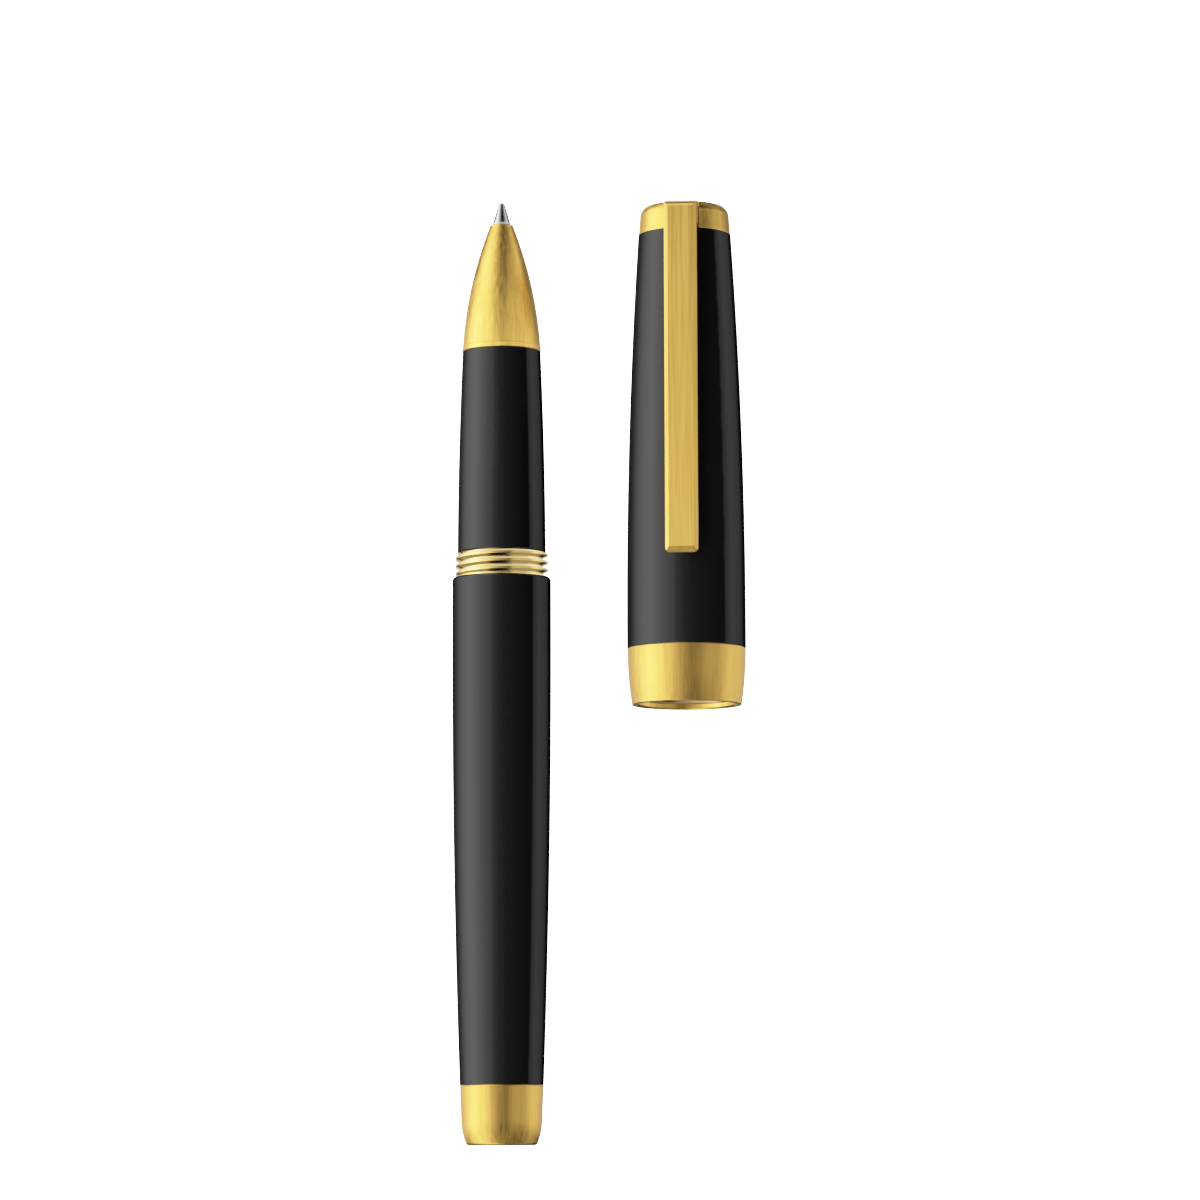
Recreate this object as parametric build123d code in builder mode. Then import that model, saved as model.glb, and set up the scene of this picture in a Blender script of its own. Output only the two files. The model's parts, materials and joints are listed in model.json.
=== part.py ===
from build123d import *
from math import cos, radians, sin
import os

# A rollerball pen lying on a surface with its screw cap beside it.
# Frame: +Y from the barrel's end to the writing tip, +Z up, +X from the pen to the cap.
# The origin is below the middle of the whole object, on the surface that it lies on.
# A station is a length along an axis: from the pen's rear end, or from the cap's mouth.
# Every point of a turned outline is (radius, station).

# ---- driving dimensions, millimetres ----
PEN_LENGTH = 122.97
CAP_LENGTH = 65.4
AXIS_SPACING = 24.0
CAP_MOUTH_STATION = 56.5          # where the cap's mouth lies along the pen
CLIP_ROLL = 4.8                   # degrees that the cap is rolled towards the pen
GAP = 0.02                        # between faces that move on each other
SEAM = 0.05                       # small edge break that makes a seam show

END_JOINT = 7.7                   # end cap to barrel
BARREL_FRONT = 73.2
THREAD_FRONT = 76.5
GRIP_FRONT = 103.05
NOSE_FRONT = 119.95

BARREL_RADIUS = 6.40
BARREL_WIDEST = 64.0
BARREL_REAR_RADIUS = 5.39
BARREL_WALL = 0.60
GRIP_REAR_RADIUS = 5.73
GRIP_MIDDLE = (5.53, 90)
GRIP_FRONT_RADIUS = 5.09
NOSE_RIM_RADIUS = 5.13
NOSE_RIM_WIDTH = 0.62
NOSE_MIDDLE = (3.77, 112.55)
NOSE_FRONT_RADIUS = 1.56
NOSE_FRONT_EDGE = 0.24             # rounding of the nose's front

CAP_RADIUS = 7.70
CAP_WIDEST = 11.0
CAP_MOUTH_RADIUS = 7.11
CAP_FRONT_RADIUS = 6.04
CAP_WALL = 0.65
CAP_MIDDLE = 36.0                 # where the bore's arc is measured
BAND_MIDDLE = (7.50, 3.3)
BAND_SPIGOT = 10.5
MOUTH_BORE = 6.3
BAND_JOINT = 7.35
CROWN_JOINT = 61.7

SLEEVE_RADIUS = 4.75              # brass sleeve that joins the end cap to the barrel
SLEEVE_SOCKET = 4.15
SLEEVE_BORE = 3.3
SLEEVE_FRONT = 14.0
END_CAP_FLOOR = 2.6
SPRING_SEAT_REAR = 3.6
SPRING_REAR = 5.6

BUSH_REAR = 62.0                  # threaded bush in the barrel's mouth
BUSH_FRONT = 73.15
BUSH_RADIUS = 5.85
SEAL_LAND = 5.45
LAND_REAR = 70.5
TENON_PITCH = 0.75
TENON_MAJOR = 5.05
TENON_MINOR = 4.62
TENON_ROOT_WIDTH = 0.62
TENON_CREST_WIDTH = 0.10
BUSH_MINOR = 4.74
BUSH_MAJOR = 5.15
BUSH_ROOT_WIDTH = 0.635
BUSH_CREST_WIDTH = 0.14

CORE_REAR = 62.4
CORE_FRONT = 107.6
CORE_BORE = 3.15
CORE_RADIUS = 4.5
RING_BORE = 4.85                  # the gold thread ring's bore, on the core
NOSE_SOCKET = 3.95                # radius of the core's front, which the nose cone is screwed on
SEAL_STATION = 72.0
SEAL_SECTION = 0.46
SEAL_GROOVE = 4.5

CAP_PITCH = 1.0
CAP_THREAD_MAJOR = 6.04
CAP_THREAD_MINOR = 5.35
CAP_THREAD_ROOT_WIDTH = 0.86
CAP_THREAD_CREST_WIDTH = 0.28
COLLAR_RADIUS = 5.7               # plain collar between the barrel and the thread
COLLAR_WIDTH = 0.3
INSERT_MINOR = 5.80
INSERT_MAJOR = 6.14
INSERT_ROOT_WIDTH = 0.66
INSERT_CREST_WIDTH = 0.36
INSERT_RELIEF = 6.30
INSERT_THREAD_FRONT = 6.0
INSERT_RADIUS = 6.85
INSERT_REAR = 0.7
INSERT_FRONT = 9.0

REFILL_REAR = 12.4
REFILL_RADIUS = 3.05
REFILL_BORE = 2.8
TUBE_REAR = 14.0
PLUG_FRONT = 19.5
SPIGOT_REAR = 100.0
TUBE_FRONT = 104.0
SHOULDER = 107.7                  # where the refill narrows
STEM_RADIUS = 1.13
STEM_REAR = 112.1
STEM_FRONT = 119.3
STEM_SOCKET = 0.8
STEM_CLEARANCE = 0.12
WICK_RADIUS = 0.45
BALL_RADIUS = 0.35
BALL_STATION = PEN_LENGTH - BALL_RADIUS
SPRING_RADIUS = 2.35
SPRING_WIRE = 0.2
SPRING_TURNS = 6

BULKHEAD_REAR = 56.0
BULKHEAD_FRONT = 57.9
BULKHEAD_RADIUS = 5.25
INNER_CAP_MOUTH = 24.0
INNER_CAP_STEP = 37.0
INNER_CAP_END = 54.5
INNER_CAP_WIDE = 5.45             # inside radius before the step
INNER_CAP_NARROW = 4.35           # inside radius past the step
INNER_CAP_SEAL = 4.45             # inside radius of the ring that seals on the nose
INNER_CAP_GROOVE = 5.65           # the groove that holds the ring
INNER_CAP_SEAL_LENGTH = 1.2
INNER_CAP_WALL = 0.75
SCREW_RADIUS = 1.2
SCREW_HEAD = 53.3

CLIP_WIDTH = 4.22
CLIP_FACE = 9.42                  # from the cap's axis to the clip's flat face
CLIP_THICK = 1.25
CLIP_LOW = 18.85
CLIP_TOP = 65.15
SLOT_WIDTH = 4.42
SLOT_ROOF = 64.75
SLOT_FLOOR = 61.72
SLOT_BOTTOM = -2.3                # how far the slot reaches past the cap's axis
SLOT_OPEN = 4.5                   # where the slot breaks out through the crown's top
CLIP_TAIL = -1.6                  # how far the clip's tail reaches past the cap's axis
CLIP_BEVEL = 0.5
CLIP_CORNER = 0.6
BUMP_STATION = 23.0
BUMP_REACH = 3.0
BUMP_GAP = 0.07
PIN_STATION = 63.4
PIN_HEIGHT = 3.2
PIN_RADIUS = 0.5
PIN_CLEARANCE = 0.03
PIN_LENGTH = 8.6
CLIP_SPRING_HEIGHT = -0.6
CLIP_SPRING_RADIUS = 0.75
CLIP_SPRING_WIRE = 0.12
CLIP_SPRING_REAR = 59.2
CLIP_SPRING_FRONT = 62.1
CLIP_SPRING_TURNS = 5
WELL_RADIUS = CLIP_SPRING_RADIUS + CLIP_SPRING_WIRE + 0.08

# ---- planes and axes that follow from them ----
PEN_X = -(AXIS_SPACING + CAP_RADIUS - BARREL_RADIUS) / 2
CAP_X = PEN_X + AXIS_SPACING
PEN_REAR_Y = -PEN_LENGTH / 2
CAP_MOUTH_Y = PEN_REAR_Y + CAP_MOUTH_STATION
ROLL = radians(CLIP_ROLL)

ALONG = (0, 1, 0)
PEN = Plane(origin=(PEN_X, PEN_REAR_Y, BARREL_RADIUS), x_dir=(1, 0, 0), z_dir=(0, 0, 1))
CAP = Plane(origin=(CAP_X, CAP_MOUTH_Y, CAP_RADIUS), x_dir=(1, 0, 0), z_dir=(0, 0, 1))
PEN_AXIS = Axis(PEN.origin, ALONG)
CAP_AXIS = Axis(CAP.origin, ALONG)
# the clip's middle plane: x is out from the cap's axis through the clip, y is along the cap
CLIP = Plane(origin=CAP.origin, x_dir=(-sin(ROLL), 0, cos(ROLL)), z_dir=(-cos(ROLL), 0, -sin(ROLL)))
# the well that the clip's spring stands in
WELL = Plane(CLIP.origin + CLIP.x_dir * CLIP_SPRING_HEIGHT, x_dir=CLIP.x_dir, z_dir=CLIP.z_dir)

os.makedirs("parts", exist_ok=True)


def save(part, name):
    part.label = name
    export_step(part, f"parts/{name}.step")


def swell(wide_radius, wide_at, end_radius, end_at):
    """Three points of a long arc that runs level at its widest and narrows to its end."""
    middle = wide_radius - (wide_radius - end_radius) / 4
    return (wide_radius, wide_at), (middle, (wide_at + end_at) / 2), (end_radius, end_at)


def barrel_radius(station):
    drop = BARREL_RADIUS - BARREL_REAR_RADIUS
    return BARREL_RADIUS - drop * ((BARREL_WIDEST - station) / (BARREL_WIDEST - END_JOINT)) ** 2


def cap_radius(station):
    drop = CAP_RADIUS - CAP_FRONT_RADIUS
    return CAP_RADIUS - drop * ((station - CAP_WIDEST) / (CROWN_JOINT - CAP_WIDEST)) ** 2


def ring(home, inner, outer, rear, front):
    """A plain tube or disc about a plane's own axis, private, to add or take away."""
    across = Plane(home.origin + Vector(ALONG) * rear, x_dir=home.x_dir, z_dir=ALONG)
    with BuildPart(mode=Mode.PRIVATE) as tube:
        with BuildSketch(across):
            Circle(outer)
            if inner > 0:
                Circle(inner, mode=Mode.SUBTRACT)
        extrude(amount=front - rear)
    return tube.part


def threaded_rod(home, pitch, minor, major, minor_width, major_width, rear, front):
    """A rod with a right-handed thread, private: added as a screw, taken away as a nut."""
    sink = 0.1                                  # how far the ridge starts inside the rod
    sunk_width = minor_width + sink * (minor_width - major_width) / (major - minor)
    middle = (minor - sink + major) / 2
    half = (major - minor + sink) / 2
    first_turn = pitch * (rear // pitch - 2)    # a whole number of turns, so mating threads agree
    start = home.origin + Vector(ALONG) * first_turn
    with BuildPart(mode=Mode.PRIVATE) as rod:
        add(ring(home, 0, minor, rear - 5 * pitch, front + 5 * pitch))
        with BuildLine() as path:
            Helix(pitch, front + 2 * pitch - first_turn, middle, center=start, direction=ALONG)
        outward = (path.line @ 0 - start).normalized()
        with BuildSketch(Plane(path.line @ 0, x_dir=outward, z_dir=path.line % 0)):
            with BuildLine():
                Polyline(
                    (-half, -sunk_width / 2),
                    (half, -major_width / 2),
                    (half, major_width / 2),
                    (-half, sunk_width / 2),
                    close=True,
                )
            make_face()
        sweep(path=path.line, is_frenet=True)
        add(ring(home, 0, major + 1, rear, front), mode=Mode.INTERSECT)
    return rod.part


def coil(home, radius, wire, turns, rear, front):
    """A compression spring's wire about a plane's own axis, private."""
    centre = home.origin + Vector(ALONG) * rear
    with BuildPart(mode=Mode.PRIVATE) as spring:
        with BuildLine() as path:
            Helix((front - rear) / turns, front - rear, radius, center=centre, direction=ALONG)
        with BuildSketch(Plane(path.line @ 0, z_dir=path.line % 0)):
            Circle(wire)
        sweep(is_frenet=True)
    return spring.part


def pin_rod(radius, length):
    """A rod across the crown on the clip's hinge line, private."""
    centre = CLIP.origin + CLIP.x_dir * PIN_HEIGHT + CLIP.y_dir * PIN_STATION
    with BuildPart(mode=Mode.PRIVATE) as rod:
        with BuildSketch(Plane(centre, x_dir=CLIP.x_dir, z_dir=CLIP.z_dir)):
            Circle(radius)
        extrude(amount=length / 2, both=True)
    return rod.part


# ---- barrel ----
def make_barrel_tube():
    bore_front = BUSH_REAR - 1.0
    front_bore = barrel_radius(bore_front) - BARREL_WALL - 0.1
    outside = swell(BARREL_RADIUS, BARREL_WIDEST, BARREL_REAR_RADIUS, END_JOINT)
    with BuildPart() as barrel_tube:
        with BuildSketch(PEN):
            with BuildLine():
                ThreePointArc(*outside)
                Polyline(
                    (BARREL_REAR_RADIUS, END_JOINT),
                    (SLEEVE_RADIUS, END_JOINT),
                    (SLEEVE_RADIUS, SLEEVE_FRONT + 1.0),
                )
                ThreePointArc(
                    (SLEEVE_RADIUS, SLEEVE_FRONT + 1.0),
                    (barrel_radius(BARREL_WIDEST / 2) - BARREL_WALL, BARREL_WIDEST / 2),
                    (front_bore, bore_front),
                )
                Polyline(
                    (front_bore, bore_front),
                    (front_bore, BUSH_REAR),
                    (BUSH_RADIUS, BUSH_REAR),
                    (BUSH_RADIUS, BARREL_FRONT),
                    (BARREL_RADIUS - 0.14, BARREL_FRONT),
                    (BARREL_RADIUS, BARREL_FRONT - 0.2),
                    (BARREL_RADIUS, BARREL_WIDEST),
                )
            make_face()
        revolve(axis=PEN_AXIS)
    save(barrel_tube.part, "barrel_tube")


def make_barrel_end_cap():
    with BuildPart() as barrel_end_cap:
        with BuildSketch(PEN):
            with BuildLine():
                side = (5.22, 3.5)
                corner = (4.65, 0.35)
                rim = (BARREL_REAR_RADIUS - GAP, END_JOINT - 2 * SEAM)
                Line(rim, side)
                ThreePointArc(side, (5.02, 1.6), corner)
                ThreePointArc(corner, (4.47, 0.1), (4.2, 0))
                Polyline(
                    (4.2, 0),
                    (0, 0),
                    (0, END_CAP_FLOOR),
                    (SLEEVE_SOCKET, END_CAP_FLOOR),
                    (SLEEVE_SOCKET, END_JOINT),
                    (BARREL_REAR_RADIUS - 2 * SEAM, END_JOINT),
                    rim,
                )
            make_face()
        revolve(axis=PEN_AXIS)
    save(barrel_end_cap.part, "barrel_end_cap")


def make_barrel_end_sleeve():
    with BuildPart() as barrel_end_sleeve:
        with BuildSketch(PEN):
            with BuildLine():
                Polyline(
                    (0, END_CAP_FLOOR),
                    (SLEEVE_SOCKET, END_CAP_FLOOR),
                    (SLEEVE_SOCKET, END_JOINT),
                    (SLEEVE_RADIUS, END_JOINT),
                    (SLEEVE_RADIUS, SLEEVE_FRONT),
                    (SLEEVE_BORE + 0.4, SLEEVE_FRONT),
                    (SLEEVE_BORE, SLEEVE_FRONT - 0.6),
                    (SLEEVE_BORE, SPRING_SEAT_REAR - GAP),
                    (0, SPRING_SEAT_REAR - GAP),
                    close=True,
                )
            make_face()
        revolve(axis=PEN_AXIS)
    save(barrel_end_sleeve.part, "barrel_end_sleeve")


def make_spring_seat():
    with BuildPart() as spring_seat:
        with BuildSketch(PEN):
            with BuildLine():
                Polyline(
                    (0, SPRING_SEAT_REAR),
                    (SLEEVE_BORE - 0.05, SPRING_SEAT_REAR),
                    (SLEEVE_BORE - 0.05, SPRING_REAR - SPRING_WIRE),
                    (1.7, SPRING_REAR - SPRING_WIRE),
                    (1.7, SPRING_REAR + 1.6),
                    (1.3, SPRING_REAR + 2.0),
                    (0, SPRING_REAR + 2.0),
                    close=True,
                )
            make_face()
        revolve(axis=PEN_AXIS)
    save(spring_seat.part, "spring_seat")


def make_refill_spring():
    front = REFILL_REAR - SPRING_WIRE - SEAM
    with BuildPart() as refill_spring:
        add(coil(PEN, SPRING_RADIUS, SPRING_WIRE, SPRING_TURNS, SPRING_REAR, front))
    save(refill_spring.part, "refill_spring")


def make_barrel_bush():
    thread = (TENON_PITCH, BUSH_MINOR, BUSH_MAJOR, BUSH_ROOT_WIDTH, BUSH_CREST_WIDTH)
    with BuildPart() as barrel_bush:
        add(ring(PEN, 0, BUSH_RADIUS, BUSH_REAR, BUSH_FRONT))
        add(threaded_rod(PEN, *thread, BUSH_REAR - 1, LAND_REAR + 1), mode=Mode.SUBTRACT)
        add(ring(PEN, 0, SEAL_LAND, LAND_REAR, BUSH_FRONT), mode=Mode.SUBTRACT)
    save(barrel_bush.part, "barrel_bush")


# ---- section: the part that the fingers hold ----
def make_section_core():
    shoulder = SEAL_LAND - 4 * GAP
    thread = (TENON_PITCH, TENON_MINOR, TENON_MAJOR, TENON_ROOT_WIDTH, TENON_CREST_WIDTH)
    thread_front = LAND_REAR - 1.2
    groove_rear = SEAL_STATION - SEAL_SECTION - 2 * GAP
    groove_front = SEAL_STATION + SEAL_SECTION + 2 * GAP
    with BuildPart() as section_core:
        add(threaded_rod(PEN, *thread, CORE_REAR, thread_front))
        with BuildSketch(PEN):
            with BuildLine():
                Polyline(
                    (0, thread_front - 0.4),
                    (SEAL_GROOVE, thread_front - 0.4),
                    (SEAL_GROOVE, LAND_REAR + 0.1),
                    (shoulder, LAND_REAR + 0.5),
                    (shoulder, groove_rear),
                    (SEAL_GROOVE, groove_rear),
                    (SEAL_GROOVE, groove_front),
                    (shoulder, groove_front),
                    (shoulder, BARREL_FRONT),
                    (RING_BORE, BARREL_FRONT),
                    (RING_BORE, THREAD_FRONT),
                    (CORE_RADIUS, THREAD_FRONT),
                    (CORE_RADIUS, GRIP_FRONT),
                    (NOSE_SOCKET, GRIP_FRONT),
                    (NOSE_SOCKET, CORE_FRONT),
                    (0, CORE_FRONT),
                    close=True,
                )
            make_face()
        revolve(axis=PEN_AXIS)
        add(ring(PEN, 0, CORE_BORE, CORE_REAR - 1, CORE_FRONT + 1), mode=Mode.SUBTRACT)
    save(section_core.part, "section_core")


def make_section_seal():
    with BuildPart() as section_seal:
        with BuildSketch(PEN):
            with Locations((SEAL_GROOVE + SEAL_SECTION, SEAL_STATION)):
                Circle(SEAL_SECTION)
        revolve(axis=PEN_AXIS)
    save(section_seal.part, "section_seal")


def make_cap_thread_ring():
    widths = (CAP_THREAD_ROOT_WIDTH, CAP_THREAD_CREST_WIDTH)
    thread = (CAP_PITCH, CAP_THREAD_MINOR, CAP_THREAD_MAJOR, *widths)
    with BuildPart() as cap_thread_ring:
        add(threaded_rod(PEN, *thread, BARREL_FRONT, THREAD_FRONT))
        add(ring(PEN, 0, COLLAR_RADIUS, BARREL_FRONT, BARREL_FRONT + COLLAR_WIDTH))
        add(ring(PEN, 0, RING_BORE, BARREL_FRONT - 1, THREAD_FRONT + 1), mode=Mode.SUBTRACT)
    save(cap_thread_ring.part, "cap_thread_ring")


def make_grip_sleeve():
    edge = 0.15
    rear = (GRIP_REAR_RADIUS, THREAD_FRONT + edge)
    front = (GRIP_FRONT_RADIUS, GRIP_FRONT - SEAM)
    with BuildPart() as grip_sleeve:
        with BuildSketch(PEN):
            with BuildLine():
                ThreePointArc(rear, GRIP_MIDDLE, front)
                Polyline(
                    front,
                    (GRIP_FRONT_RADIUS - SEAM, GRIP_FRONT),
                    (CORE_RADIUS, GRIP_FRONT),
                    (CORE_RADIUS, THREAD_FRONT),
                    (GRIP_REAR_RADIUS - edge, THREAD_FRONT),
                    rear,
                )
            make_face()
        revolve(axis=PEN_AXIS)
    save(grip_sleeve.part, "grip_sleeve")


def make_nose_cone():
    rim_front = GRIP_FRONT + NOSE_RIM_WIDTH
    cone_rear = (NOSE_RIM_RADIUS - SEAM, rim_front + SEAM)
    cone_front = (NOSE_FRONT_RADIUS, NOSE_FRONT - NOSE_FRONT_EDGE)
    edge_middle = (NOSE_FRONT_RADIUS - 0.3 * NOSE_FRONT_EDGE, NOSE_FRONT - 0.3 * NOSE_FRONT_EDGE)
    edge_front = (NOSE_FRONT_RADIUS - NOSE_FRONT_EDGE, NOSE_FRONT)
    bore = STEM_RADIUS + STEM_CLEARANCE
    with BuildPart() as nose_cone:
        with BuildSketch(PEN):
            with BuildLine():
                Polyline(
                    (NOSE_SOCKET, GRIP_FRONT),
                    (NOSE_RIM_RADIUS - SEAM, GRIP_FRONT),
                    (NOSE_RIM_RADIUS, GRIP_FRONT + SEAM),
                    (NOSE_RIM_RADIUS, rim_front),
                    cone_rear,
                )
                ThreePointArc(cone_rear, NOSE_MIDDLE, cone_front)
                ThreePointArc(cone_front, edge_middle, edge_front)
                Polyline(
                    edge_front,
                    (bore, NOSE_FRONT),
                    (bore, STEM_REAR + 0.5),
                    (CORE_BORE, SHOULDER + SEAM),
                    (CORE_BORE, CORE_FRONT + SEAM),
                    (NOSE_SOCKET, CORE_FRONT + SEAM),
                    (NOSE_SOCKET, GRIP_FRONT),
                )
            make_face()
        revolve(axis=PEN_AXIS)
    save(nose_cone.part, "nose_cone")


# ---- refill ----
def make_refill_tube():
    with BuildPart() as refill_tube:
        add(ring(PEN, REFILL_BORE, REFILL_RADIUS, TUBE_REAR, TUBE_FRONT))
    save(refill_tube.part, "refill_tube")


def make_refill_plug():
    with BuildPart() as refill_plug:
        with BuildSketch(PEN):
            with BuildLine():
                Polyline(
                    (0, REFILL_REAR),
                    (2.7, REFILL_REAR),
                    (REFILL_RADIUS, REFILL_REAR + 0.35),
                    (REFILL_RADIUS, TUBE_REAR),
                    (REFILL_BORE, TUBE_REAR),
                    (REFILL_BORE, PLUG_FRONT),
                    (0, PLUG_FRONT),
                    close=True,
                )
            make_face()
        revolve(axis=PEN_AXIS)
    save(refill_plug.part, "refill_plug")


def make_refill_reservoir():
    with BuildPart() as refill_reservoir:
        add(ring(PEN, 0, REFILL_BORE - 2 * SEAM, PLUG_FRONT + 2 * SEAM, SPIGOT_REAR - 1.2))
    save(refill_reservoir.part, "refill_reservoir")


def make_refill_holder():
    with BuildPart() as refill_holder:
        with BuildSketch(PEN):
            with BuildLine():
                Polyline(
                    (WICK_RADIUS, SPIGOT_REAR),
                    (REFILL_BORE, SPIGOT_REAR),
                    (REFILL_BORE, TUBE_FRONT),
                    (REFILL_RADIUS, TUBE_FRONT),
                    (REFILL_RADIUS, SHOULDER),
                    (STEM_RADIUS, STEM_REAR),
                    (STEM_RADIUS, STEM_FRONT),
                    (STEM_SOCKET, STEM_FRONT),
                    (STEM_SOCKET, STEM_FRONT - 2),
                    (WICK_RADIUS, STEM_FRONT - 2),
                    close=True,
                )
            make_face()
        revolve(axis=PEN_AXIS)
    save(refill_holder.part, "refill_holder")


def make_refill_wick():
    with BuildPart() as refill_wick:
        add(ring(PEN, 0, WICK_RADIUS, SPIGOT_REAR - 1, STEM_FRONT - 2))
    save(refill_wick.part, "refill_wick")


def make_refill_tip():
    ink_hole = 0.2
    taper_rear = (STEM_RADIUS, 120.25)
    taper_front = (0.48, 122.5)
    crimp = (0.35, BALL_STATION + 0.13)
    socket = BALL_RADIUS + GAP / 2
    with BuildPart() as refill_tip:
        with BuildSketch(PEN):
            with BuildLine():
                Polyline(
                    (ink_hole, STEM_FRONT - 2),
                    (STEM_SOCKET, STEM_FRONT - 2),
                    (STEM_SOCKET, STEM_FRONT),
                    (STEM_RADIUS, STEM_FRONT),
                    taper_rear,
                    taper_front,
                )
                ThreePointArc(taper_front, (0.45, BALL_STATION + 0.01), crimp)
                Polyline(
                    crimp,
                    (ink_hole, crimp[1]),
                    (ink_hole, STEM_FRONT - 2),
                )
            make_face()
        revolve(axis=PEN_AXIS)
        with Locations(PEN.origin + Vector(ALONG) * BALL_STATION):
            Sphere(socket, mode=Mode.SUBTRACT)
    save(refill_tip.part, "refill_tip")


def make_refill_ball():
    with BuildPart() as refill_ball:
        with Locations(PEN.origin + Vector(ALONG) * BALL_STATION):
            Sphere(BALL_RADIUS)
    save(refill_ball.part, "refill_ball")


# ---- cap ----
def make_cap_tube():
    inside_mouth = CAP_RADIUS - CAP_WALL
    with BuildPart() as cap_tube:
        with BuildSketch(CAP):
            with BuildLine():
                ThreePointArc(*swell(CAP_RADIUS, CAP_WIDEST, CAP_FRONT_RADIUS, CROWN_JOINT))
                Polyline(
                    (CAP_FRONT_RADIUS, CROWN_JOINT),
                    (BULKHEAD_RADIUS, CROWN_JOINT),
                    (BULKHEAD_RADIUS, BULKHEAD_REAR),
                )
                ThreePointArc(
                    (BULKHEAD_RADIUS, BULKHEAD_REAR),
                    (cap_radius(CAP_MIDDLE) - CAP_WALL, CAP_MIDDLE),
                    (inside_mouth, CAP_WIDEST),
                )
                Polyline(
                    (inside_mouth, CAP_WIDEST),
                    (inside_mouth, BAND_JOINT),
                    (CAP_RADIUS - SEAM, BAND_JOINT),
                    (CAP_RADIUS, BAND_JOINT + SEAM),
                    (CAP_RADIUS, CAP_WIDEST),
                )
            make_face()
        revolve(axis=CAP_AXIS)
    save(cap_tube.part, "cap_tube")


def make_cap_band():
    spigot = CAP_RADIUS - CAP_WALL
    lead_in = 0.2
    mouth = (CAP_MOUTH_RADIUS, SEAM)
    joint = (CAP_RADIUS - GAP, BAND_JOINT - 2 * SEAM)
    with BuildPart() as cap_band:
        with BuildSketch(CAP):
            with BuildLine():
                ThreePointArc(mouth, BAND_MIDDLE, joint)
                Polyline(
                    joint,
                    (CAP_RADIUS - GAP - 2 * SEAM, BAND_JOINT),
                    (spigot, BAND_JOINT),
                    (spigot, BAND_SPIGOT),
                    (INSERT_RADIUS, BAND_SPIGOT),
                    (INSERT_RADIUS, INSERT_REAR),
                    (MOUTH_BORE, INSERT_REAR),
                    (MOUTH_BORE, lead_in),
                    (MOUTH_BORE + lead_in, 0),
                    (CAP_MOUTH_RADIUS - SEAM, 0),
                    mouth,
                )
            make_face()
        revolve(axis=CAP_AXIS)
    save(cap_band.part, "cap_band")


def make_cap_thread_insert():
    thread = (CAP_PITCH, INSERT_MINOR, INSERT_MAJOR, INSERT_ROOT_WIDTH, INSERT_CREST_WIDTH)
    cutter = threaded_rod(CAP, *thread, INSERT_REAR - 1, INSERT_THREAD_FRONT + 1)
    relief = ring(CAP, 0, INSERT_RELIEF, INSERT_THREAD_FRONT, INSERT_FRONT)
    with BuildPart() as cap_thread_insert:
        add(ring(CAP, 0, INSERT_RADIUS, INSERT_REAR, INSERT_FRONT))
        add(cutter, mode=Mode.SUBTRACT)
        add(relief, mode=Mode.SUBTRACT)
    save(cap_thread_insert.part, "cap_thread_insert")


def make_inner_cap():
    wide_outside = INNER_CAP_WIDE + INNER_CAP_WALL + 0.1
    narrow_outside = INNER_CAP_NARROW + INNER_CAP_WALL
    groove_rear = INNER_CAP_STEP - INNER_CAP_SEAL_LENGTH
    with BuildPart() as inner_cap:
        with BuildSketch(CAP):
            with BuildLine():
                Polyline(
                    (INNER_CAP_WIDE + 0.4, INNER_CAP_MOUTH),
                    (wide_outside, INNER_CAP_MOUTH),
                    (wide_outside, INNER_CAP_STEP + 0.8),
                    (narrow_outside, INNER_CAP_STEP + 1.6),
                    (narrow_outside, BULKHEAD_REAR),
                    (SCREW_RADIUS, BULKHEAD_REAR),
                    (SCREW_RADIUS, INNER_CAP_END),
                    (INNER_CAP_NARROW, INNER_CAP_END),
                    (INNER_CAP_NARROW, INNER_CAP_STEP),
                    (INNER_CAP_GROOVE, INNER_CAP_STEP),
                    (INNER_CAP_GROOVE, groove_rear),
                    (INNER_CAP_WIDE, groove_rear),
                    (INNER_CAP_WIDE, INNER_CAP_MOUTH + 0.6),
                    close=True,
                )
            make_face()
        revolve(axis=CAP_AXIS)
    save(inner_cap.part, "inner_cap")


def make_inner_cap_seal():
    width = INNER_CAP_GROOVE - INNER_CAP_SEAL
    centre = (INNER_CAP_SEAL + width / 2, INNER_CAP_STEP - INNER_CAP_SEAL_LENGTH / 2)
    with BuildPart() as inner_cap_seal:
        with BuildSketch(CAP):
            with Locations(centre):
                RectangleRounded(width, INNER_CAP_SEAL_LENGTH, 0.2)
        revolve(axis=CAP_AXIS)
    save(inner_cap_seal.part, "inner_cap_seal")


def make_cap_bulkhead():
    with BuildPart() as cap_bulkhead:
        add(ring(CAP, SCREW_RADIUS, BULKHEAD_RADIUS, BULKHEAD_REAR, BULKHEAD_FRONT))
    save(cap_bulkhead.part, "cap_bulkhead")


def make_crown_screw():
    head_radius = 2.3
    slot_depth = 0.5
    with BuildPart() as crown_screw:
        add(ring(CAP, 0, head_radius, SCREW_HEAD, INNER_CAP_END))
        add(ring(CAP, 0, SCREW_RADIUS, INNER_CAP_END, BULKHEAD_FRONT + 0.9))
        with BuildSketch(Plane(CAP.origin + Vector(ALONG) * SCREW_HEAD, z_dir=ALONG)):
            Rectangle(2 * head_radius + 1, 0.6)
        extrude(amount=slot_depth, mode=Mode.SUBTRACT)
    save(crown_screw.part, "crown_screw")


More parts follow.
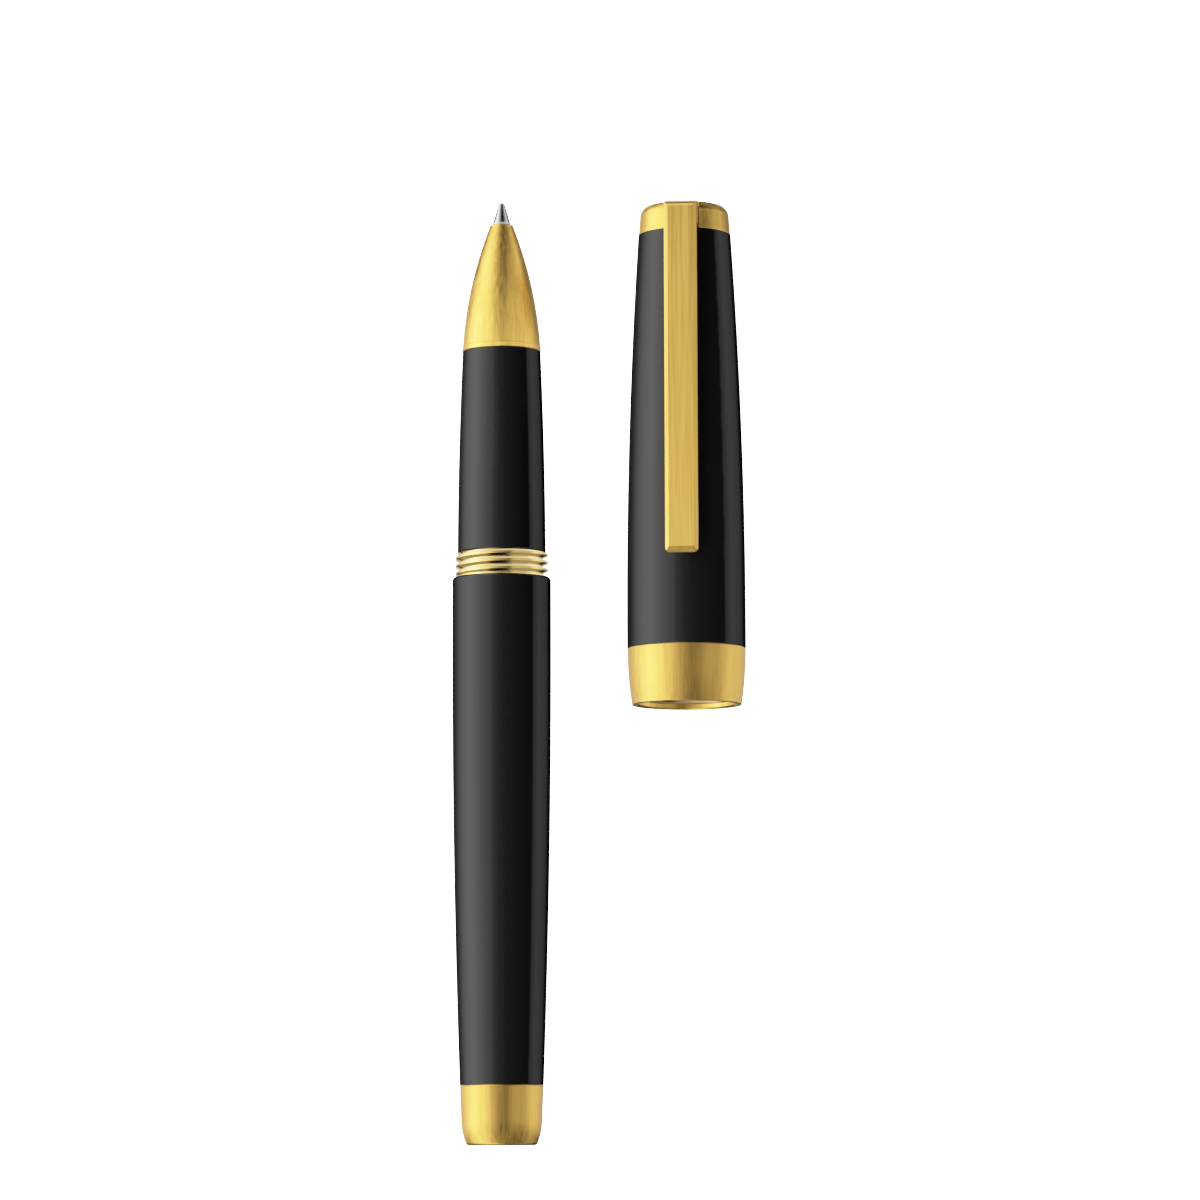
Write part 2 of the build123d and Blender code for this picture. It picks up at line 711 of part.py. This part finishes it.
def make_crown():
    flat = (4.9, CAP_LENGTH)
    shoulder = (5.82, 64.1)
    corner = (5.45, 65.1)
    hole_end = BULKHEAD_FRONT + 1.0
    well = ring(WELL, 0, WELL_RADIUS, CLIP_SPRING_REAR - CLIP_SPRING_WIRE, SLOT_FLOOR)
    with BuildPart() as crown:
        with BuildSketch(CAP):
            with BuildLine():
                Polyline(
                    (BULKHEAD_RADIUS, CROWN_JOINT),
                    (CAP_FRONT_RADIUS - 0.06, CROWN_JOINT),
                    (CAP_FRONT_RADIUS - 0.03, CROWN_JOINT + 0.1),
                    shoulder,
                )
                ThreePointArc(shoulder, (5.72, 64.68), corner)
                ThreePointArc(corner, (5.22, 65.32), flat)
                Polyline(
                    flat,
                    (0, CAP_LENGTH),
                    (0, hole_end),
                    (SCREW_RADIUS, hole_end),
                    (SCREW_RADIUS, BULKHEAD_FRONT),
                    (BULKHEAD_RADIUS, BULKHEAD_FRONT),
                    (BULKHEAD_RADIUS, CROWN_JOINT),
                )
            make_face()
        revolve(axis=CAP_AXIS)
        with BuildSketch(CLIP):
            with BuildLine():
                Polyline(
                    (SLOT_BOTTOM, SLOT_FLOOR),
                    (SLOT_BOTTOM, SLOT_ROOF),
                    (SLOT_OPEN, SLOT_ROOF),
                    (SLOT_OPEN, CAP_LENGTH + 1),
                    (CLIP_FACE, CAP_LENGTH + 1),
                    (CLIP_FACE, SLOT_FLOOR),
                    close=True,
                )
            make_face()
        extrude(amount=SLOT_WIDTH / 2, both=True, mode=Mode.SUBTRACT)
        add(pin_rod(PIN_RADIUS, PIN_LENGTH), mode=Mode.SUBTRACT)
        add(well, mode=Mode.SUBTRACT)
    save(crown.part, "crown")


# ---- clip ----
def make_clip_pin():
    with BuildPart() as clip_pin:
        add(pin_rod(PIN_RADIUS, PIN_LENGTH))
    save(clip_pin.part, "clip_pin")


def make_clip():
    inside = CLIP_FACE - CLIP_THICK
    face_low = (CLIP_FACE, CLIP_LOW + 0.7)
    face_top = (CLIP_FACE, 63.7)
    slope_foot = (8.85, 64.45)
    elbow_front = (7.2, 62.1)
    elbow_rear = (inside, 61.1)
    bump_front = (inside, BUMP_STATION + BUMP_REACH)
    bump_top = (cap_radius(BUMP_STATION) + BUMP_GAP, BUMP_STATION)
    bump_rear = (inside, BUMP_STATION - BUMP_REACH)
    with BuildPart() as clip:
        with BuildSketch(CLIP):
            with BuildLine():
                Line(face_low, face_top)
                ThreePointArc(face_top, (CLIP_FACE - 0.17, 64.16), slope_foot)
                Polyline(
                    slope_foot,
                    (6.3, CLIP_TOP),
                    (4.95, CLIP_TOP),
                    (4.75, 64.5),
                    (CLIP_TAIL, 64.4),
                    (CLIP_TAIL, 62.45),
                    (2.5, 62.1),
                    elbow_front,
                )
                ThreePointArc(elbow_front, (inside - 0.28, 61.82), elbow_rear)
                Line(elbow_rear, bump_front)
                ThreePointArc(bump_front, bump_top, bump_rear)
                Polyline(
                    bump_rear,
                    (inside + 0.2, CLIP_LOW),
                    (CLIP_FACE - CLIP_BEVEL, CLIP_LOW),
                    face_low,
                )
            make_face()
        extrude(amount=CLIP_WIDTH / 2, both=True)
        with BuildSketch(Plane(CLIP.origin, x_dir=-CLIP.z_dir, z_dir=CLIP.x_dir)) as plan:
            with Locations((0, (CLIP_LOW + CLIP_TOP) / 2)):
                Rectangle(CLIP_WIDTH, CLIP_TOP - CLIP_LOW)
            fillet(plan.vertices().group_by(Axis.Y)[0], radius=CLIP_CORNER)
        extrude(amount=2 * CLIP_FACE, both=True, mode=Mode.INTERSECT)
        with BuildSketch(Plane(CLIP.origin, x_dir=CLIP.x_dir, z_dir=ALONG)) as section:
            with Locations(((CLIP_FACE + SLOT_BOTTOM) / 2, 0)):
                Rectangle(CLIP_FACE - SLOT_BOTTOM, CLIP_WIDTH)
            chamfer(section.vertices().group_by(Axis.X)[-1], length=CLIP_BEVEL)
        extrude(amount=CLIP_TOP + 1, mode=Mode.INTERSECT)
        add(pin_rod(PIN_RADIUS + PIN_CLEARANCE, CLIP_WIDTH + 1), mode=Mode.SUBTRACT)
    save(clip.part, "clip")


def make_clip_spring():
    shape = (CLIP_SPRING_RADIUS, CLIP_SPRING_WIRE, CLIP_SPRING_TURNS)
    with BuildPart() as clip_spring:
        add(coil(WELL, *shape, CLIP_SPRING_REAR, CLIP_SPRING_FRONT))
    save(clip_spring.part, "clip_spring")


BARREL = [make_barrel_tube, make_barrel_end_cap, make_barrel_end_sleeve, make_barrel_bush]
BARREL_SPRING = [make_spring_seat, make_refill_spring]
SECTION = [make_section_core, make_section_seal, make_cap_thread_ring, make_grip_sleeve, make_nose_cone]
REFILL = [make_refill_tube, make_refill_plug, make_refill_reservoir, make_refill_holder]
TIP = [make_refill_wick, make_refill_tip, make_refill_ball]
CAP_SHELL = [make_cap_tube, make_cap_band, make_cap_thread_insert, make_cap_bulkhead, make_crown]
CAP_INSIDE = [make_inner_cap, make_inner_cap_seal, make_crown_screw]
CLIP_PIECES = [make_clip, make_clip_pin, make_clip_spring]

for make in BARREL + BARREL_SPRING + SECTION + REFILL + TIP + CAP_SHELL + CAP_INSIDE + CLIP_PIECES:
    make()
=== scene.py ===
import json
import math

import bmesh
import bpy
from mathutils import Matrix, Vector


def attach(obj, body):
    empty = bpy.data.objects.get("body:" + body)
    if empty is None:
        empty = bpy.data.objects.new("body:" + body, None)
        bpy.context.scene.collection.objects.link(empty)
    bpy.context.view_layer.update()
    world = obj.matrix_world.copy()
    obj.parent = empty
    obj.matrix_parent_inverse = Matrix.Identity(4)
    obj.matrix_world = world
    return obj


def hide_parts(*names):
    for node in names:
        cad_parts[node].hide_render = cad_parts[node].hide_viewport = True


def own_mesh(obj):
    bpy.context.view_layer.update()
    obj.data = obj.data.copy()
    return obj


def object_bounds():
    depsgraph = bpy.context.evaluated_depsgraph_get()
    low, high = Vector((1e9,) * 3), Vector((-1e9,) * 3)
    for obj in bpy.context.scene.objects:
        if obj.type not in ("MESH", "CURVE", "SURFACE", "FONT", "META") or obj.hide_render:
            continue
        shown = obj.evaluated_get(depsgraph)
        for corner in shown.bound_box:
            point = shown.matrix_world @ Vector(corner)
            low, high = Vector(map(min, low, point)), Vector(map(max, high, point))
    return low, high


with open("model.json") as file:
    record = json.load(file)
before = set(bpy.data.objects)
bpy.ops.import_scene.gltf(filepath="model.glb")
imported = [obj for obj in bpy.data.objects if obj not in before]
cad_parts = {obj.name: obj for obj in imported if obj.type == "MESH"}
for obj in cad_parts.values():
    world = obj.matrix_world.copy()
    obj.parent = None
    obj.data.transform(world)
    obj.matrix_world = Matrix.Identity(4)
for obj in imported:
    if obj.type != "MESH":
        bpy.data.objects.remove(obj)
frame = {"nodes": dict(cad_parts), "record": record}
cad_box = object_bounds()

NODES = frame["nodes"]
SLOT_OF = {part["node"]: part["material_slot"] for part in frame["record"]["subparts"]}
MM = 0.001
WHITE = 3.0      # the scene brightness that the tone curve shows as paper white


# ---- materials ----
NOISE_LOW, NOISE_HIGH = 0.3, 0.7      # most of a noise's values lie between these


def new_material(name):
    material = bpy.data.materials.new(name)
    material.use_nodes = True
    return material, material.node_tree, material.node_tree.nodes["Principled BSDF"]


def grain(tree, scale, detail=3.0):
    """Noise over the object's own coordinates, with its cells per metre along each axis."""
    coords = tree.nodes.new("ShaderNodeTexCoord")
    mapping = tree.nodes.new("ShaderNodeMapping")
    mapping.inputs["Scale"].default_value = scale
    noise = tree.nodes.new("ShaderNodeTexNoise")
    noise.inputs["Scale"].default_value = 1.0
    noise.inputs["Detail"].default_value = detail
    noise.inputs["Roughness"].default_value = 0.6
    tree.links.new(coords.outputs["Object"], mapping.inputs["Vector"])
    tree.links.new(mapping.outputs["Vector"], noise.inputs["Vector"])
    return noise.outputs["Fac"]


def tinted(tree, factor, dark, light, low=NOISE_LOW, high=NOISE_HIGH):
    """The colour that goes from dark to light as the factor goes from low to high."""
    ramp = tree.nodes.new("ShaderNodeValToRGB")
    ramp.color_ramp.elements[0].position = low
    ramp.color_ramp.elements[0].color = (*dark, 1)
    ramp.color_ramp.elements[1].position = high
    ramp.color_ramp.elements[1].color = (*light, 1)
    tree.links.new(factor, ramp.inputs["Fac"])
    return ramp.outputs["Color"]


def ranged(tree, factor, low, high):
    """A value that goes from low to high with a noise."""
    spread = tree.nodes.new("ShaderNodeMapRange")
    spread.inputs["From Min"].default_value = NOISE_LOW
    spread.inputs["From Max"].default_value = NOISE_HIGH
    spread.inputs["To Min"].default_value = low
    spread.inputs["To Max"].default_value = high
    tree.links.new(factor, spread.inputs["Value"])
    return spread.outputs["Result"]


def bumped(tree, shader, factor, strength, depth):
    bump = tree.nodes.new("ShaderNodeBump")
    bump.inputs["Strength"].default_value = strength
    bump.inputs["Distance"].default_value = depth
    tree.links.new(factor, bump.inputs["Height"])
    tree.links.new(bump.outputs["Normal"], shader.inputs["Normal"])


def grained(name, metallic, dark, light, rough, scale, strength, depth):
    """One noise sets the colour, the roughness and the bump."""
    material, tree, shader = new_material(name)
    fine = grain(tree, scale)
    shader.inputs["Metallic"].default_value = metallic
    tree.links.new(tinted(tree, fine, dark, light), shader.inputs["Base Color"])
    tree.links.new(ranged(tree, fine, *rough), shader.inputs["Roughness"])
    bumped(tree, shader, fine, strength, depth)
    return material


def lacquer(name):
    """Polished black, with a trace of dust in the colour and of flow in the surface."""
    material, tree, shader = new_material(name)
    specks = grain(tree, (9000, 9000, 9000), detail=2.0)
    flow = grain(tree, (260, 140, 260), detail=1.0)
    black, near_black = (0.023, 0.023, 0.0232), (0.032, 0.032, 0.0322)
    tree.links.new(tinted(tree, specks, black, near_black), shader.inputs["Base Color"])
    tree.links.new(ranged(tree, specks, 0.03, 0.06), shader.inputs["Roughness"])
    shader.inputs["IOR"].default_value = 1.5
    bumped(tree, shader, flow, 0.04, 0.02 * MM)
    return material


def brushed(name, dark, light, rough):
    """Metal brushed lengthwise: hairlines along the axis over broader, fainter bands."""
    material, tree, shader = new_material(name)
    hairs = grain(tree, (3600, 70, 3600), detail=2.0)
    bands = grain(tree, (900, 25, 900), detail=1.0)
    both = tree.nodes.new("ShaderNodeMix")
    both.inputs["Factor"].default_value = 0.4
    tree.links.new(hairs, both.inputs["A"])
    tree.links.new(bands, both.inputs["B"])
    streaks = both.outputs["Result"]
    shader.inputs["Metallic"].default_value = 1.0
    tree.links.new(tinted(tree, streaks, dark, light, 0.35, 0.62), shader.inputs["Base Color"])
    tree.links.new(ranged(tree, hairs, *rough), shader.inputs["Roughness"])
    bumped(tree, shader, hairs, 0.3, 0.02 * MM)
    return material


ALONG = (5200, 330, 5200)      # grain that runs along the pen
AROUND = (500, 9000, 500)      # turning lines
EVEN = (4000, 4000, 4000)

MATERIALS = {
    "black_lacquer": lacquer("black_lacquer"),
    "satin_gold": brushed("satin_gold", (0.58, 0.370, 0.080), (0.78, 0.500, 0.130), (0.32, 0.44)),
}
# slot: metallic, dark colour, light colour, roughness, grain, bump strength, bump depth
GRAINED = {
    "polished_gold": (
        1, (0.76, 0.53, 0.17), (0.84, 0.61, 0.21), (0.14, 0.20), EVEN, 0.02, 0.01 * MM,
    ),
    "bare_brass": (
        1, (0.42, 0.29, 0.12), (0.54, 0.39, 0.17), (0.26, 0.38), AROUND, 0.2, 0.02 * MM,
    ),
    "steel": (
        1, (0.50, 0.50, 0.51), (0.60, 0.60, 0.61), (0.22, 0.34), ALONG, 0.2, 0.02 * MM,
    ),
    "polished_steel": (
        1, (0.35, 0.35, 0.36), (0.42, 0.42, 0.43), (0.16, 0.24), AROUND, 0.08, 0.01 * MM,
    ),
    "hard_ball": (
        1, (0.30, 0.30, 0.31), (0.36, 0.36, 0.37), (0.06, 0.12), EVEN, 0.02, 0.01 * MM,
    ),
    "black_plastic": (
        0, (0.010, 0.010, 0.010), (0.016, 0.016, 0.016), (0.42, 0.55), EVEN, 0.15, 0.02 * MM,
    ),
    "seal_rubber": (
        0, (0.012, 0.012, 0.012), (0.020, 0.020, 0.020), (0.65, 0.80), EVEN, 0.25, 0.03 * MM,
    ),
    "ink_fibre": (
        0, (0.03, 0.03, 0.05), (0.06, 0.06, 0.09), (0.75, 0.90), ALONG, 0.5, 0.05 * MM,
    ),
}
for slot, finish in GRAINED.items():
    MATERIALS[slot] = grained(slot, *finish)

for name, node in NODES.items():
    node.data.materials.clear()
    node.data.materials.append(MATERIALS[SLOT_OF[name]])


# ---- springs: copies, each attached to a body, stand for the CAD's rigid coils ----
def make_spring(coil, body):
    """The coil's mesh is copied, the copy is attached to the body and kept out of mirror images,
    and the CAD coil is hidden.
    """
    piece = bpy.data.objects.new(coil + "_pressed", NODES[coil].data.copy())
    bpy.context.scene.collection.objects.link(piece)
    piece.visible_glossy = False
    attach(piece, body)
    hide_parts(coil)
    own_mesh(piece)


make_spring("refill_spring", "spring")
make_spring("clip_spring", "cap")


# No piece shows in another's mirror image, as if there were cards between them. Only the crown
# does, so that no light leaks past the clip into its slot.
for name, node in NODES.items():
    node.visible_glossy = name == "crown"


# ---- floor ----
FLOOR_HALF = 4.0


def make_floor():
    mesh = bpy.data.meshes.new("floor")
    form = bmesh.new()
    corners = [(-1, -1), (1, -1), (1, 1), (-1, 1)]
    form.faces.new([form.verts.new((x * FLOOR_HALF, y * FLOOR_HALF, 0.0)) for x, y in corners])
    form.to_mesh(mesh)
    form.free()
    floor = bpy.data.objects.new("floor", mesh)
    bpy.context.scene.collection.objects.link(floor)
    material, tree, shader = new_material("white_table")
    paper = grain(tree, (900, 900, 900))
    tint = tinted(tree, paper, (0.90, 0.90, 0.90), (0.93, 0.93, 0.93))
    tree.links.new(tint, shader.inputs["Base Color"])
    tree.links.new(ranged(tree, paper, 0.85, 0.95), shader.inputs["Roughness"])
    shader.inputs["Emission Color"].default_value = (1, 1, 1, 1)
    shader.inputs["Emission Strength"].default_value = WHITE
    mesh.materials.append(material)
    # the table glows white by itself, lights nothing, isn't mirrored and shades no lamp below it
    floor.visible_glossy = False
    floor.visible_diffuse = False
    floor.visible_shadow = False


make_floor()


# ---- light: a soft dome, bright on the left, dark overhead, with a strip low on the right ----
# degrees from straight up, and brightness: negative angles are to the left
DOME = [
    (-180, 0.0), (-141, 0.0), (-132, 0.10), (-123, 0.36), (-105, 1.15), (-90, 1.80),
    (-76, 2.20), (-60, 1.75), (-36, 1.00), (-24, 0.76), (-21, 0.42), (-7, 0.13), (12, 0.0),
    (78, 0.0), (82, 0.44), (98, 0.68), (114, 0.42), (133, 0.16), (143, 0.0),
]


def make_dome():
    world = bpy.data.worlds.new("studio")
    bpy.context.scene.world = world
    world.use_nodes = True
    tree = world.node_tree
    coords = tree.nodes.new("ShaderNodeTexCoord")
    split = tree.nodes.new("ShaderNodeSeparateXYZ")
    turn = tree.nodes.new("ShaderNodeMath")
    turn.operation = "ARCTAN2"
    share = tree.nodes.new("ShaderNodeMapRange")
    share.inputs["From Min"].default_value = -math.pi
    share.inputs["From Max"].default_value = math.pi
    ramp = tree.nodes.new("ShaderNodeValToRGB")
    tree.links.new(coords.outputs["Generated"], split.inputs["Vector"])
    tree.links.new(split.outputs["X"], turn.inputs[0])
    tree.links.new(split.outputs["Z"], turn.inputs[1])
    tree.links.new(turn.outputs["Value"], share.inputs["Value"])
    tree.links.new(share.outputs["Result"], ramp.inputs["Fac"])
    brightest = max(level for angle, level in DOME)
    elements = ramp.color_ramp.elements
    while len(elements) < len(DOME):
        elements.new(0.5)
    for element, (angle, level) in zip(elements, DOME):
        element.position = (angle + 180) / 360
        element.color = (level / brightest, level / brightest, level / brightest, 1)
    shade = tree.nodes["Background"]
    shade.inputs["Strength"].default_value = brightest
    tree.links.new(ramp.outputs["Color"], shade.inputs["Color"])
    # the backdrop past the table's edge is as white as the table
    backdrop = tree.nodes.new("ShaderNodeBackground")
    backdrop.inputs["Strength"].default_value = WHITE
    path = tree.nodes.new("ShaderNodeLightPath")
    mix = tree.nodes.new("ShaderNodeMixShader")
    tree.links.new(path.outputs["Is Camera Ray"], mix.inputs["Fac"])
    tree.links.new(shade.outputs["Background"], mix.inputs[1])
    tree.links.new(backdrop.outputs["Background"], mix.inputs[2])
    tree.links.new(mix.outputs["Shader"], tree.nodes["World Output"].inputs["Surface"])


make_dome()


# ---- lamps: each lights only some nodes ----
AWAY = 0.6      # metres from the middle of the object to a lamp
LONG = 3.0      # a lamp this long looks endless from the pens

low, high = cad_box
middle = (low + high) / 2


def soft_box(name, direction, size, brightness, receivers, shadow=True, aside=0):
    """A box light that faces the pens from a direction, moved aside to the right."""
    data = bpy.data.lights.new(name, "AREA")
    data.shape = "RECTANGLE"
    data.size, data.size_y = size
    data.energy = brightness * math.pi * size[0] * size[1]
    data.use_shadow = shadow
    lamp = bpy.data.objects.new(name, data)
    bpy.context.scene.collection.objects.link(lamp)
    lamp.location = middle + Vector(direction) * AWAY + Vector((aside, 0, 0))
    lamp.rotation_euler = (-Vector(direction)).to_track_quat("-Z", "Y").to_euler()
    lamp.visible_camera = False
    lit = bpy.data.collections.new(name + "_lights")
    for node in receivers:
        lit.objects.link(node)
    lamp.light_linking.receiver_collection = lit


def leaning(degrees):
    """The direction that leans from straight up to the right."""
    return math.sin(math.radians(degrees)), 0, math.cos(math.radians(degrees))


SHINY_SLOTS = ("satin_gold", "polished_gold", "polished_steel", "hard_ball")
shiny = [NODES[name] for name in NODES if SLOT_OF[name] in SHINY_SLOTS]
soft_box("shiny_right", leaning(93), (0.42, LONG), 0.76, shiny)
soft_box("shiny_top", leaning(-18), (0.24, LONG), 0.40, shiny)
soft_box("shiny_left", leaning(-124), (0.44, LONG), 0.80, shiny)
soft_box("shiny_rear", (0, -0.96, 0.27), (0.5, 0.16), 0.35, shiny)
soft_box("shiny_below", (0, 0.55, -0.83), (0.6, 0.4), 0.9, shiny)

tip = [NODES[name] for name in ("nose_cone", "refill_tip", "refill_ball")]
clip, crown, end = [NODES["clip"]], [NODES["crown"]], [NODES["barrel_end_cap"]]
ring, mouth = [NODES["cap_thread_ring"]], [NODES["cap_thread_insert"]]
soft_box("clip_face", leaning(-12), (0.30, LONG), 0.95, clip)
soft_box("tip_right", (0.62, 0.35, 0.70), (0.50, 2.0), 0.92, tip)
soft_box("front_left", (-0.80, 0.35, 0.50), (0.50, 2.0), 0.70, tip + crown)
# the gap between the left and the right lamps is the dark middle of the thread
for width, aside in ((0.72, -0.44), (0.76, 0.417)):
    soft_box("thread_rear", (0, -0.80, -0.60), (width, 0.7), 0.45, ring, aside=aside)
    soft_box("thread_front", (0, 0.75, -0.66), (width, 0.7), 0.45, ring, aside=aside)
# the cap's tube would shade the inside of its mouth, so these two throw no shadows
soft_box("mouth", (0, 0.12, 0.99), (0.7, 0.7), 0.70, mouth, shadow=False)
soft_box("mouth_rear", (0, -0.94, -0.34), (1.6, 0.9), 0.45, mouth, shadow=False)
soft_box("end_rear", (0.36, -0.60, 0.72), (0.7, 0.4), 0.32, end)
soft_box("clip_top", (0, 0.86, 0.51), (0.6, 0.4), 1.10, clip)
soft_box("crown_right", (0.76, 0.10, 0.64), (0.4, 1.2), 0.38, crown)


# ---- camera: above, a little towards the pens' rear ends ----
PITCH, ROLL = math.radians(6.75), math.radians(-0.16)
DISTANCE = 0.572
LENS_MM, SENSOR_MM = 132, 36
TARGET_X, TARGET_Y = -0.05 * MM, 8.83 * MM      # from the middle of the object
TARGET_HEIGHT = 0.4                             # share of the object's height


def make_camera():
    data = bpy.data.cameras.new("camera")
    data.sensor_width = SENSOR_MM
    data.lens = LENS_MM
    data.clip_start, data.clip_end = 0.05, 20
    camera = bpy.data.objects.new("camera", data)
    bpy.context.scene.collection.objects.link(camera)
    target = Vector((middle.x + TARGET_X, middle.y + TARGET_Y, high.z * TARGET_HEIGHT))
    forward = Vector((0, math.sin(PITCH), -math.cos(PITCH)))
    camera.location = target - forward * DISTANCE
    camera.rotation_euler = (PITCH, 0, ROLL)
    bpy.context.scene.camera = camera


make_camera()


# ---- tone: true colours up to the middle, then a film-like shoulder up to paper white ----
# scene brightness, and the level it is shown at
SHOULDER = [(0.25, 0.25), (0.5, 0.5), (0.75, 0.70), (1.0, 0.83), (1.5, 0.94), (2.0, 0.98)]


def make_tone():
    view = bpy.context.scene.view_settings
    view.view_transform = "Standard"
    view.use_curve_mapping = True
    mapping = view.curve_mapping
    mapping.white_level = (WHITE, WHITE, WHITE)
    mapping.use_clip = True
    combined = mapping.curves[3]
    for brightness, level in SHOULDER:
        combined.points.new(brightness / WHITE, level)
    mapping.update()


make_tone()
